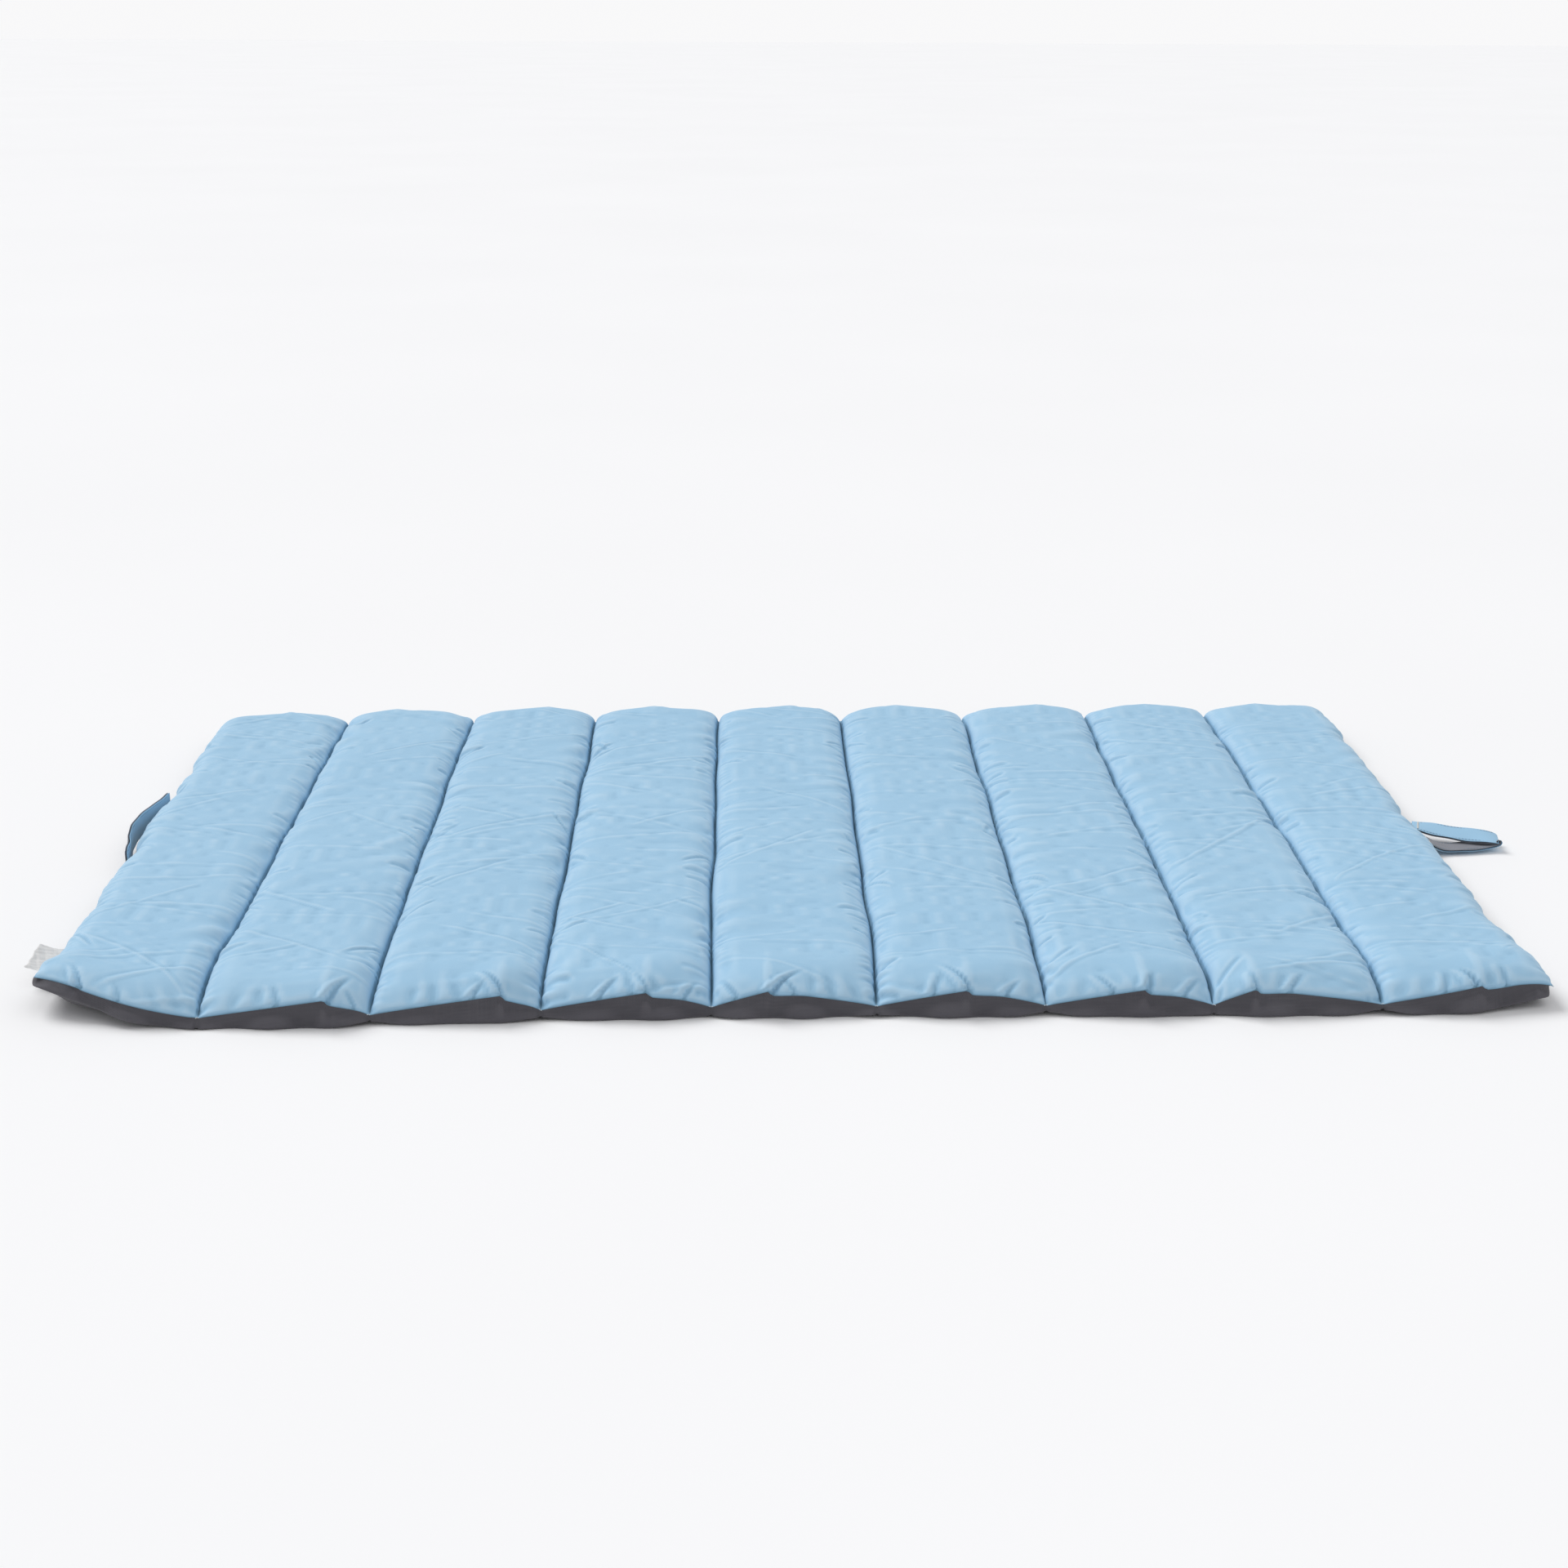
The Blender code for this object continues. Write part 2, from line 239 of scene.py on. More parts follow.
class Cut:
    """Both cloths as they are sewn, on a grid of rows and columns."""

    def __init__(self, along, across):
        self.across = across
        channel = np.minimum((across * CHANNELS + 1e-9).astype(int), CHANNELS - 1)
        self.inside = np.clip(across * CHANNELS - channel, 0.0, 1.0)
        lines = seam_lines(along)
        self.x = lines[:, channel] * (1.0 - self.inside) + lines[:, channel + 1] * self.inside
        share = along[:, None]
        y_front, y_back = end_lines(across)
        self.y = y_front * (1.0 - share) + y_back * share
        self.measure(share)
        self.sewn = (self.from_seam < ON_LINE) | (self.from_end < ON_LINE)
        self.sewn_z = self.height_if_sewn()

    def measure(self, share):
        """Distances over the flat cloth; share is each row's place from front to back."""
        whole = np.zeros_like(self.x)
        self.from_front = share * DEPTH + whole
        self.from_back = (1.0 - share) * DEPTH + whole
        self.from_left = self.across * CHANNELS * PITCH + whole
        self.from_right = (1.0 - self.across) * CHANNELS * PITCH + whole
        self.from_end = np.minimum(self.from_front, self.from_back)
        self.from_side = np.minimum(self.from_left, self.from_right)
        self.from_seam = np.minimum(self.inside, 1.0 - self.inside) * PITCH + whole

    def height_if_sewn(self):
        """The height of a sewn line that ran through each point."""
        z_front, z_back, notch_front, notch_back = end_heights(self.across)
        near_front = fade_out(self.from_front / EDGE_REACH)
        near_back = fade_out(self.from_back / EDGE_REACH)
        height = SEAM_Z + (z_front - SEAM_Z) * near_front + (z_back - SEAM_Z) * near_back
        height = height - notch_front * fade_out(self.from_front / NOTCH_REACH)
        height = height - notch_back * fade_out(self.from_back / NOTCH_REACH)
        middle = (1.0 - near_front) * (1.0 - near_back)
        return height + (SIDE_HEIGHT - SEAM_Z) * fade_out(self.from_side / 0.04) * middle


def coarse_shares():
    """The simulated grid's rows and columns, as shares from the front and from the left."""
    local = spaced(CELLS_ACROSS, SIDE_DENSITY)[:-1]
    across = np.concatenate([channel + local for channel in range(CHANNELS)] + [[CHANNELS]])
    return spaced(CELLS_ALONG, END_DENSITY), across / CHANNELS


def rise(distance, reach, power):
    return 1.0 - (1.0 - np.clip(distance / reach, 0.0, 1.0)) ** power


def wrinkle_field(x, y):
    """Seeded wrinkles that run mostly across the channels, in patches."""
    rng = seeded(2)
    total = np.zeros_like(x)
    for _ in range(360):
        centre_x = rng.uniform(LEFT_X, RIGHT_X)
        centre_y = rng.uniform(FRONT_Y, BACK_Y)
        turn = rng.normal(0.0, 0.5)
        length = rng.uniform(0.025, 0.06)
        wave = rng.uniform(0.022, 0.055)
        along = (x - centre_x) * math.cos(turn) + (y - centre_y) * math.sin(turn)
        across = -(x - centre_x) * math.sin(turn) + (y - centre_y) * math.cos(turn)
        patch = np.exp(-((along / length) ** 2) - (across / (wave * 0.9)) ** 2)
        total += rng.uniform(0.4, 1.0) * patch * np.cos(2 * math.pi * across / wave)
    return total


def starting_sheets(cut):
    """Top and bottom before the simulation: domed channels with faint wrinkles."""
    ends = rise(cut.from_end, END_ROUND, 2.4)
    dome = 1.0 - np.abs(2.0 * cut.inside - 1.0) ** FULLNESS
    top_z = cut.sewn_z + (CROWN_Z - SEAM_Z - CROWN_MARGIN) * dome * ends
    near = bell(cut.from_seam, WRINKLE_REACH)
    wrinkles = wrinkle_field(cut.x, cut.y) * (WRINKLE_PLAIN + WRINKLE_SEAM * near)
    top_z = top_z + np.where(cut.sewn, 0.0, wrinkles)
    bottom_z = cut.sewn_z * (1.0 - rise(cut.from_seam, SEAM_TURN, 2.0) * rise(cut.from_end, 0.016, 2.0))
    return np.stack([cut.x, cut.y, top_z], -1), np.stack([cut.x, cut.y, bottom_z], -1)


def grid_faces(numbers, upward):
    """Quads over a grid of vertex numbers, facing up or down."""
    corners = [numbers[:-1, :-1], numbers[:-1, 1:], numbers[1:, 1:], numbers[1:, :-1]]
    if not upward:
        corners.reverse()
    return np.stack(corners, -1).reshape(-1, 4)


def set_cloth(quilt):
    """Light cloth under a little pressure, held along its sewn lines."""
    cloth = quilt.modifiers.new("Cloth", "CLOTH")
    for name, value in CLOTH.items():
        setattr(cloth.settings, name, value)
    cloth.settings.vertex_group_mass = "held"
    cloth.settings.use_pressure = True
    cloth.settings.effector_weights.gravity = 0.0
    cloth.collision_settings.use_collision = False
    cloth.collision_settings.use_self_collision = False
    cloth.point_cache.frame_start = 1
    cloth.point_cache.frame_end = FRAMES


def inflate(top, bottom, held):
    """Sews the two cloths at the held points and blows them up a little."""
    top_number = np.arange(held.size).reshape(held.shape)
    bottom_number = top_number.copy()
    free = ~held
    bottom_number[free] = held.size + np.arange(free.sum())
    points = np.concatenate([top.reshape(-1, 3), bottom[free]])
    faces = np.concatenate([grid_faces(top_number, True), grid_faces(bottom_number, False)])
    mesh = bpy.data.meshes.new("quilt_simulation")
    mesh.from_pydata(points.tolist(), [], faces.tolist())
    quilt = link("quilt_simulation", mesh)
    scene = bpy.context.scene
    group = quilt.vertex_groups.new(name="held")
    group.add(top_number[held].tolist(), 1.0, "REPLACE")
    set_cloth(quilt)
    for number in range(1, FRAMES + 1):
        scene.frame_set(number)
    solved = quilt.evaluated_get(bpy.context.evaluated_depsgraph_get()).data
    found = np.empty(len(solved.vertices) * 3, np.float32)
    solved.vertices.foreach_get("co", found)
    found = found.reshape(-1, 3).astype(float)
    bpy.data.objects.remove(quilt, do_unlink=True)
    bpy.data.meshes.remove(mesh)
    scene.frame_set(1)
    return found[top_number], found[bottom_number]


# ---- from the simulated grid to the shown one
def with_ends(values):
    """The rows with one more at each end, in line with the two rows there."""
    return np.concatenate([2 * values[:1] - values[1:2], values, 2 * values[-1:] - values[-2:-1]])


def catmull_rom(before, here, after, beyond, t):
    curve = 2 * here + (after - before) * t + (2 * before - 5 * here + 4 * after - beyond) * t**2
    return 0.5 * (curve + (3 * here - before - 3 * after + beyond) * t**3)


def refine_rows(values):
    """Catmull-Rom rows between the rows of an array."""
    padded = with_ends(values)
    around = (padded[:-3], padded[1:-2], padded[2:-1], padded[3:])
    steps = [catmull_rom(*around, step / REFINE) for step in range(REFINE)]
    fine = np.stack(steps, 1).reshape(-1, *values.shape[1:])
    return np.concatenate([fine, values[-1:]])


def refine_columns(values):
    """The same across the channels, each by itself, so that the seams stay sharp."""
    blocks = []
    for channel in range(CHANNELS):
        first = channel * CELLS_ACROSS
        block = values[:, first : first + CELLS_ACROSS + 1].swapaxes(0, 1)
        blocks.append(refine_rows(block)[:-1].swapaxes(0, 1))
    return np.concatenate([*blocks, values[:, -1:]], 1)


def channel_columns(channel):
    """The shown grid's columns of one channel, both of its seams included."""
    first = channel * COLUMNS
    return slice(first, first + COLUMNS + 1)


def sheet_normals(points, upward):
    normals = np.cross(np.gradient(points, axis=1), np.gradient(points, axis=0))
    normals /= np.linalg.norm(normals, axis=-1, keepdims=True)
    return normals if upward else -normals


# ---- detail that the simulated grid is too coarse for
def add_folds(height, cut, rng, count, lengths, widths, sizes, spread, shadow):
    """Folds that run from a seam a part of the way across their channel.

    sizes are heights, negative for a groove; shadow is how much of the opposite lies beside it.
    """
    row_y = cut.y[:, cut.y.shape[1] // 2]
    for _ in range(count):
        channel = int(rng.integers(0, CHANNELS))
        from_left = rng.random() < 0.5
        start_y = rng.uniform(FRONT_Y, BACK_Y)
        slope = math.tan(rng.normal(0.0, spread))
        bow = rng.normal(0.0, 1.6)
        length = rng.uniform(*lengths)
        width = rng.uniform(*widths)
        size = rng.uniform(*sizes)
        side = rng.choice((-1.7, 1.7)) * width
        reach = 0.02 + abs(slope) * length + abs(bow) * length**2
        rows = np.flatnonzero(np.abs(row_y - start_y) < reach)
        window = (slice(rows[0], rows[-1] + 1), channel_columns(channel))
        away = seam_distance(cut, channel, from_left)
        offset = cut.y[window] - start_y - slope * away - bow * away**2
        fade = ease(away / 0.004) * fade_out((away - length) / (0.4 * length))
        height[window] += size * (bell(offset, width) - shadow * bell(offset - side, width)) * fade


def seam_distance(cut, channel, from_left):
    """Distance of a channel's columns from its left or its right seam."""
    away = cut.inside[channel_columns(channel)] * PITCH
    away[-1] = PITCH
    return away if from_left else PITCH - away


def cloth_folds(cut, seed, pinches, creases):
    """Pinched grooves beside the seams, in groups, and long thin creases that catch the light."""
    rng = seeded(seed)
    height = np.zeros_like(cut.x)
    add_folds(height, cut, rng, pinches, (0.008, 0.022), (0.0018, 0.0034), (-0.0015, -0.0005), 0.4, 0.5)
    add_folds(height, cut, rng, creases, (0.035, 0.095), (0.0016, 0.0027), (0.0003, 0.0007), 0.34, 0.4)
    return height


def gathers(rng, run, slant, wavelength, patch_length, share):
    """Small waves where sewing gathers the cloth, in patches along it."""
    wave = waves(rng, slant, wavelength, 3)
    return wave * ease(share + 0.6 * waves(rng, run, patch_length, 3))


def seam_puckers(cut, seed):
    """Short pinches beside the channel seams, fading within a centimetre."""
    rng = seeded(seed)
    height = np.zeros_like(cut.x)
    for channel in range(CHANNELS):
        columns = channel_columns(channel)
        run = cut.y[:, columns]
        for from_left in (True, False):
            away = seam_distance(cut, channel, from_left)
            folds = gathers(rng, run, run + away * rng.normal(0.0, 0.25), 0.0105, 0.1, 0.55)
            height[:, columns] += PUCKER * folds * bell(away, 0.0085) * lift_off(away, 0.0022)
    return height


def pleat_folds(cut, pleats, from_end, seed):
    """A fold that runs inwards from each pleat of a gathered end, with a soft ridge beside it."""
    rng = seeded(seed)
    height = np.zeros_like(cut.x)
    for channel, peak in enumerate(pleats):
        columns = channel_columns(channel)
        distance = from_end[:, columns]
        folds = ((1.0, 0.0), (0.55, rng.uniform(-0.32, -0.18)), (0.5, rng.uniform(0.12, 0.25)))
        for size, shift in folds:
            lean = rng.choice((-1.0, 1.0)) * rng.uniform(0.35, 1.0)
            curl = rng.uniform(-18.0, 18.0)
            place = SEAMS_X[channel] + (peak + shift) * PITCH + lean * distance + curl * distance**2
            offset = cut.x[:, columns] - place - 0.0025
            length = rng.uniform(0.015, 0.026) * (0.5 + 0.5 * size)
            fade = fade_out(distance / length) * ease(distance / 0.0015)
            fade = fade * ease(cut.from_seam[:, columns] / 0.008)
            fold = PLEAT_RIDGE * bell(offset + 0.0048, 0.0032) - PLEAT_GROOVE * bell(offset, 0.002)
            height[:, columns] += size * fade * fold
    return height


def rim_puckers(cut, seed):
    """The same all along the outer seam, fading within a centimetre and a half."""
    rng = seeded(seed)
    height = np.zeros_like(cut.x)
    for axis, distance, *_ in outer_sides(cut):
        run = cut.x if axis == 1 else cut.y
        slant = run + 0.5 * distance * waves(rng, run, 0.12, 2)
        folds = gathers(rng, run, slant, 0.014, 0.11, 0.5)
        height += RIM_PUCKER * folds * bell(distance, 0.012) * lift_off(distance, 0.002)
    return height


def stand_seams_up(top, cut):
    """Stuffed channels press against each other above a seam, which leaves a narrow dark line."""
    rng = seeded(11)
    fullness = 1.0 + 0.22 * waves(rng, cut.y + 0.9 * cut.x, 0.09, 4)
    lift = SEAM_SWELL * fullness * lift_off(cut.from_seam, 0.0009) * np.exp(-cut.from_seam / 0.014)
    inner = ease(cut.from_end / 0.012) * ease(cut.from_side / 0.03)
    top[..., 2] += lift * inner


def round_the_rim(top, cut):
    """The blue cloth bulges just inside the outer seam, which lies in a groove."""
    clear = away_from_seams(cut, 0.008)
    for axis, distance, outward, other in outer_sides(cut):
        swell = RIM_SWELL * lift_off(distance, 0.0012) * np.exp(-distance / 0.012)
        top[..., axis] += outward * swell * clear * ease(other / 0.012)
    near = np.minimum(cut.from_end, cut.from_side)
    top[..., 2] += RIM_SWELL * lift_off(near, 0.0015) * np.exp(-near / 0.014) * clear


def outer_sides(cut):
    """Each side's axis, distance, outward direction, and the distance that rounds its corners."""
    return (
        (1, cut.from_front, -1.0, cut.from_side),
        (1, cut.from_back, 1.0, cut.from_side),
        (0, cut.from_left, -1.0, cut.from_end),
        (0, cut.from_right, 1.0, cut.from_end),
    )


def away_from_seams(cut, reach):
    """0 on the channel seams, 1 away from them; the outer sides don't count."""
    place = cut.across * CHANNELS
    whole = np.clip(np.round(place), 1, CHANNELS - 1)
    distance = np.abs(place - whole) * PITCH
    return ease(distance / reach)


def room_for_straps(cut):
    """0 where a strap swings against a side, so that the wall leans inwards there, and 1 elsewhere."""
    room = np.ones_like(cut.x)
    for node, distance in (("edge_strap_face", cut.from_left), ("hand_loop_face", cut.from_right)):
        low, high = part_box(node)
        beside = ease((cut.y - low.y) / 0.02 + 1.0) * ease((high.y - cut.y) / 0.02 + 1.0)
        room -= beside * (distance < PITCH)
    corner = bell(np.hypot(cut.from_right, cut.from_front), 0.03)
    return np.clip(room - 0.3 * corner, 0.0, 1.0)


def lifted_foot(cut):
    """How far the grey cloth is lifted off the ground, and the random numbers that follow on."""
    rng = seeded(9)
    foot = LEFT_FOOT * bell(np.hypot(cut.from_left, cut.from_front), 0.058)
    foot = foot + RIGHT_FOOT * bell(np.hypot(cut.from_right, cut.from_front), 0.04)
    near_end = fade_out(cut.from_end / 0.03)
    for seam in range(2, CHANNELS):
        pulled = rng.uniform(0.0008, 0.0055)
        beside = np.abs(cut.across * CHANNELS - seam) * PITCH
        foot = foot + pulled * bell(beside, 0.016) * near_end
    return foot, rng


def keep_above_ground(bottom, cut):
    bottom[..., 2] = np.where(cut.sewn, bottom[..., 2], np.maximum(bottom[..., 2], GROUND_LIFT))


def stand_the_wall_up(bottom, cut):
    """The grey cloth comes down steeply from the outer seam, as a soft creased wall."""
    past_wall = np.maximum(cut.from_end - 0.014, 0.0)
    behind_wall = ease((cut.from_end - 0.006) / 0.008)
    clear = away_from_seams(cut, 0.0013 + 0.02 * ease(past_wall / 0.05))
    clear = 1.0 - (1.0 - clear) * behind_wall
    wall_x = (1.0 - np.clip(cut.from_side / WALL, 0.0, 1.0)) ** 1.6
    wall_y = (1.0 - np.clip(cut.from_end / WALL, 0.0, 1.0)) ** 1.6
    seam_turn = SEAM_TURN_END + (SEAM_TURN - SEAM_TURN_END) * ease(past_wall / 0.03)
    turn = (1.0 - away_from_seams(cut, seam_turn)) ** 1.5 * behind_wall
    height = 1.0 - (1.0 - wall_x) * (1.0 - wall_y) * (1.0 - turn)
    foot, rng = lifted_foot(cut)
    profile = foot + (cut.sewn_z - foot) * height
    settled = ease((cut.from_end - 0.008) / 0.022) * ease((cut.from_side - 0.008) / 0.022)
    bottom[..., 2] = profile + (bottom[..., 2] - profile) * settled
    room = room_for_straps(cut)
    for axis, distance, outward, other in outer_sides(cut):
        crease = waves(rng, bottom[..., 1 - axis], 0.034, 4)
        reach = np.clip(distance, 0.0, WALL) * fade_out((distance - WALL) / 0.045)
        bulge = np.sin(math.pi * np.clip(distance / (WALL * 1.3), 0.0, 1.0))
        push = room * (reach + (0.003 + 0.0011 * crease) * bulge) - (1.0 - room) * 0.004 * bulge
        bottom[..., axis] += outward * clear * push * ease(other / 0.014)
    keep_above_ground(bottom, cut)


def refined_sheet(sheet, rough, cut):
    """A simulated sheet on the shown grid; only its difference from the sewn shape is refined."""
    offsets = sheet - np.stack([rough.x, rough.y, rough.sewn_z], -1)
    return refine_columns(refine_rows(offsets)) + np.stack([cut.x, cut.y, cut.sewn_z], -1)


def top_detail(cut):
    detail = cloth_folds(cut, 3, 230, 220) + seam_puckers(cut, 4)
    detail += rim_puckers(cut, 8)
    detail += pleat_folds(cut, FRONT_PLEATS, cut.from_front, 5)
    detail += 0.4 * pleat_folds(cut, BACK_PLEATS, cut.from_back, 6)
    return detail


def make_cloths():
    """Both whole cloths on the shown grid, and their cut."""
    along, across = coarse_shares()
    rough = Cut(along, across)
    top, bottom = starting_sheets(rough)
    top, bottom = inflate(top, bottom, rough.sewn)
    cut = Cut(refine_rows(along), refine_columns(across[None, :])[0])
    top = refined_sheet(top, rough, cut)
    bottom = refined_sheet(bottom, rough, cut)
    stand_seams_up(top, cut)
    round_the_rim(top, cut)
    stand_the_wall_up(bottom, cut)
    top += sheet_normals(top, True) * np.where(cut.sewn, 0.0, top_detail(cut))[..., None]
    under = cloth_folds(cut, 7, 60, 120) * ease(cut.from_end / 0.03)
    bottom[..., 2] += np.where(cut.sewn, 0.0, under)
    keep_above_ground(bottom, cut)
    return top, bottom, cut


# ---- meshes
def add_mesh(name, points, faces, uv, material):
    """A smooth-shaded mesh object; uv holds one pair in metres for each point."""
    mesh = bpy.data.meshes.new(name)
    mesh.from_pydata(np.asarray(points).tolist(), [], faces)
    loops = np.empty(len(mesh.loops), np.int32)
    mesh.loops.foreach_get("vertex_index", loops)
    layer = mesh.uv_layers.new(name="cloth_metres")
    layer.data.foreach_set("uv", np.asarray(uv, np.float32)[loops].ravel())
    mesh.shade_smooth()
    mesh.materials.append(material)
    return link(name, mesh)


def link(name, data):
    made = bpy.data.objects.new(name, data)
    bpy.context.scene.collection.objects.link(made)
    return made


def add_body(name, points, faces, uv, material):
    """A mesh object of closed bodies, with every face turned outwards."""
    piece = add_mesh(name, points, faces, uv, material)
    shape = bmesh.new()
    shape.from_mesh(piece.data)
    bmesh.ops.recalc_face_normals(shape, faces=shape.faces)
    shape.to_mesh(piece.data)
    shape.free()
    return piece


def add_thin_body(name, upper, lower, flat, run, material):
    """A closed body between two sheets of points; flat and run are its cloth coordinates."""
    points, faces = loft(np.concatenate([upper, lower[:, ::-1]], 1))
    uv = [np.concatenate([values, values[:, ::-1]], 1).ravel() for values in (flat, run)]
    return add_body(name, points, faces, np.stack(uv, -1), material)


def loft(rings):
    """Points and faces of one closed body through rings of points, with a cap at each end."""
    count, sides = rings.shape[:2]
    numbers = np.arange(count * sides).reshape(count, sides)
    wrapped = np.concatenate([numbers, numbers[:, :1]], 1)
    faces = grid_faces(wrapped, True).tolist()
    faces.append(numbers[0].tolist())
    faces.append(numbers[-1][::-1].tolist())
    return rings.reshape(-1, 3), faces


def join_bodies(bodies):
    """Several (points, faces) bodies as one."""
    points = []
    faces = []
    count = 0
    for body_points, body_faces in bodies:
        points.append(body_points)
        faces.extend([number + count for number in face] for face in body_faces)
        count += len(body_points)
    return np.concatenate(points), faces


def declare(piece, nodes, body=None):
    """Hides the CAD nodes that the piece stands for, and hangs it on the body that it rides on."""
    if nodes:
        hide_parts(*nodes)
    if body:
        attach(piece, body)


# ---- the two cloths
def crest_of(points, normals):
    """How proud of its neighbours each point stands: above 0 on a ridge, below 0 in a crease."""
    padded = np.pad(points, ((2, 2), (2, 2), (0, 0)), mode="edge")
    around = (padded[:-4, 2:-2] + padded[4:, 2:-2] + padded[2:-2, :-4] + padded[2:-2, 4:]) / 4.0
    proud = ((points - around) * normals).sum(-1)
    inner = np.zeros_like(proud)
    inner[2:-2, 2:-2] = proud[2:-2, 2:-2]
    inner[1:-1] = (inner[:-2] + 2.0 * inner[1:-1] + inner[2:]) / 4.0
    return np.clip(inner / FULL_CREST, -1.0, 1.0)


def add_line_shade(crest, cut):
    """Takes crest to about -2 in the sewn lines, where the cloth is deep in shade."""
    rng = seeded(12)
    uneven = 0.85 + 0.15 * waves(rng, cut.y + 0.9 * cut.x, 0.05, 4)
    over_mat = ease(cut.from_end / 0.006) * ease(cut.from_side / 0.03)
    channel_line = bell(cut.from_seam, 0.0019) * over_mat * uneven
    outer_line = bell(np.minimum(cut.from_end, cut.from_side), 0.0013)
    line = np.maximum(channel_line, 0.95 * outer_line)
    return crest * (1.0 - line) - 2.0 * line


def make_cloth_pieces(label, panel, sheet, cut, upward, looks, slot):
    """One piece over each seam, from crown to crown."""
    normals = sheet_normals(sheet, upward)
    crest = add_line_shade(crest_of(sheet, normals), cut)
    uv = np.stack([cut.x, cut.y], -1)
    for number, fold in enumerate(FOLDS, 1):
        last_piece = number == CHANNELS - 1
        first = 0 if number == 1 else (number - 1) * COLUMNS + COLUMNS // 2
        last = CHANNELS * COLUMNS if last_piece else number * COLUMNS + COLUMNS // 2
        columns = slice(first, last + 1)
        points = sheet[:, columns]
        numbers = np.arange(points.shape[0] * points.shape[1]).reshape(points.shape[:2])
        faces = grid_faces(numbers, upward).tolist()
        flat = uv[:, columns].reshape(-1, 2)
        piece = add_mesh(f"{label}_{number}", points.reshape(-1, 3), faces, flat, looks[slot])
        piece.data.normals_split_custom_set_from_vertices(normals[:, columns].reshape(-1, 3).tolist())
        # crest feeds the painted highlight on ridges and the painted shade in creases and sewn lines
        painted_light_crest = piece.data.attributes.new("crest", "FLOAT", "POINT")
        painted_light_crest.data.foreach_set("value", crest[:, columns].astype(np.float32).ravel())
        panels = (number, CHANNELS) if last_piece else (number,)
        declare(piece, [f"{panel}_{place}" for place in panels])
        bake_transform(piece)


# ---- wadding inside the channels
def make_wadding(material):
    """A lumpy pad in each channel, clear of the seams so that it never shows in a fold."""
    rows = np.linspace(-1.0, 1.0, 65)
    turn = np.linspace(0.0, 2 * math.pi, 29)[:-1]
    half_width = PITCH / 2 - PAD_INSET
    half_depth = DEPTH / 2 - PAD_END_INSET
    middle_z = (CROWN_Z - 0.002) / 2
    half_height = middle_z - PAD_CLEARANCE
    across, upward = (np.sign(wave) * np.abs(wave) ** 0.7 for wave in (np.cos(turn), np.sin(turn)))
    for number in range(1, CHANNELS + 1):
        rng = seeded(40 + number)
        taper = np.clip(1.0 - np.abs(rows) ** 14, 0.02, 1.0)[:, None] ** 0.5
        y = rows[:, None] * half_depth + 0.0 * turn
        lumps = 1.0 + 0.045 * waves(rng, y + 0.02 * across, 0.06, 4)
        lumps += 0.03 * waves(rng, across * 0.05 + 0.3 * y, 0.03, 3)
        centre = (SEAMS_X[number - 1] + SEAMS_X[number]) / 2
        x = centre + half_width * 0.93 * across * taper * lumps
        z = middle_z + half_height * 0.93 * upward * taper * lumps
        points, faces = loft(np.stack([x, y, z], -1))
        uv = np.stack([x.ravel(), y.ravel()], -1)
        pad = add_body(f"wadding_{number}", points, faces, uv, material)
        declare(pad, [f"filling_{number}"], f"segment_{number}")


# ---- sewing thread
def stitch_rings(start, end, lift, radius):
    """One stitch of thread, thin and rounded, that dips into the cloth at both ends."""
    start, end, lift = np.array(start), np.array(end), np.array(lift)
    forward = end - start
    length = np.linalg.norm(forward)
    side = np.cross(forward / length, lift)
    shares = np.array((0.0, 0.12, 0.5, 0.88, 1.0))
    swell = np.array((0.35, 0.85, 1.0, 0.85, 0.35)) * radius
    sink = -1.6 * radius * np.abs(2.0 * shares - 1.0) ** 3
    turn = np.linspace(0.0, 2 * math.pi, 7)[:-1]
    centre = start + forward * shares[:, None] + lift * sink[:, None]
    around = np.cos(turn)[:, None] * side + np.sin(turn)[:, None] * lift
    return centre[:, None, :] + swell[:, None, None] * around[None]


def make_stitches(name, bodies, looks, slot, body, nodes=()):
    """Every stitch in bodies, as one piece that rides on a CAD body."""
    points, faces = join_bodies(bodies)
    declare(add_body(name, points, faces, points[:, :2], looks[slot]), nodes, body)


def make_seam_stitches(cut, looks):
    """Lockstitches along each channel seam, on both cloths."""
    pitch = 0.0035
    length = 0.003
    radius = 0.00028
    inset = 0.005
    for number in range(1, CHANNELS):
        column = number * COLUMNS
        line_y = cut.y[:, column]
        bodies = []
        for start_y in np.arange(line_y[0] + inset, line_y[-1] - inset - length, pitch):
            ys = np.array((start_y, start_y + length))
            xs = np.interp(ys, line_y, cut.x[:, column])
            zs = np.interp(ys, line_y, cut.sewn_z[:, column])
            for side in (1.0, -1.0):
                ends = np.stack([xs, ys, zs + side * 0.00045], -1)
                bodies.append(loft(stitch_rings(ends[0], ends[1], (0, 0, side), radius)))
        node = f"channel_stitch_{number}"
        body = f"segment_{number + 1}"
        make_stitches(f"seam_stitches_{number}", bodies, looks, "seam_thread", body, (node,))


def make_thread_tails(cut, looks):
    """Short pale thread ends where a seam runs out at the front."""
    rng = seeded(60)
    up = (0.0, 0.0, 1.0)
    for number in range(1, CHANNELS):
        column = number * COLUMNS
        foot = np.array((cut.x[0, column], cut.y[0, column], cut.sewn_z[0, column]))
        bodies = []
        for side in (-1.0, 1.0):
            lean = (side * rng.uniform(0.0006, 0.0016), -0.0016, rng.uniform(0.0008, 0.0022))
            rings = stitch_rings(foot + (0.0, 0.0012, 0.0004), foot + np.array(lean), up, 0.00024)
            bodies.append(loft(rings))
        make_stitches(f"seam_tail_{number}", bodies, looks, "light_thread", f"segment_{number + 1}")


